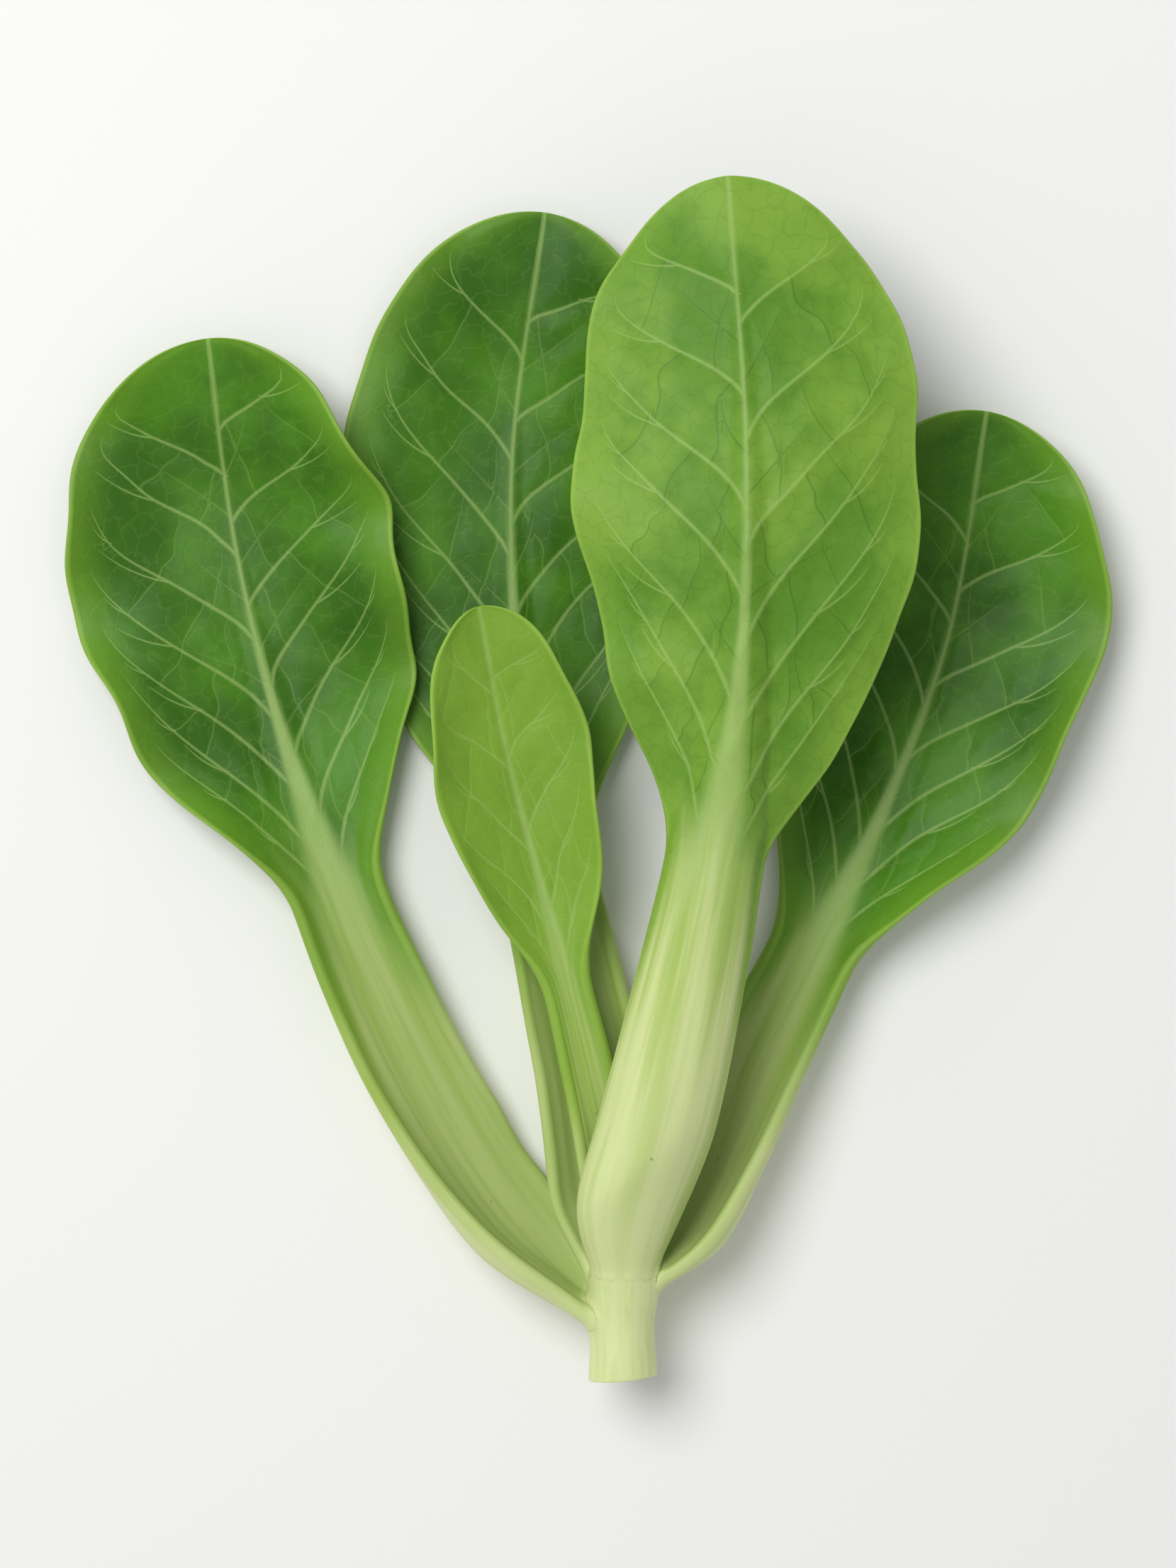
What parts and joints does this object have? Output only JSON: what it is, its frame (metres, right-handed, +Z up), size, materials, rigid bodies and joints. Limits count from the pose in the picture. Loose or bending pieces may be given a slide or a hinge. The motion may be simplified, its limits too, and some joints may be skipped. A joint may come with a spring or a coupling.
{
  "type": "baby bok choy",
  "caption": "Baby bok choy lying on its side: a short cut stem with spoon-shaped leaves on thick pale stalks, fanned out round a small heart leaf.",
  "frame": {"origin": "on the surface that the plant lies on, under the middle of its outer box", "axes": "+Y from the cut stem to the leaf tips, +Z up, +X to the right as the picture looks down on it"},
  "size_m": [0.1152, 0.1304, 0.024],
  "materials": {
    "stem": "satin",
    "stalk": "satin",
    "blade": "satin"
  },
  "bodies": {
    "root": {"stem_base": "stem", "front_leaf_stalk": "stalk", "front_leaf_blade": "blade", "left_leaf_stalk": "stalk", "left_leaf_blade": "blade", "back_leaf_stalk": "stalk", "back_leaf_blade": "blade", "right_leaf_stalk": "stalk", "right_leaf_blade": "blade", "heart_leaf_stalk": "stalk", "heart_leaf_blade": "blade"}
  },
  "joints": []
}
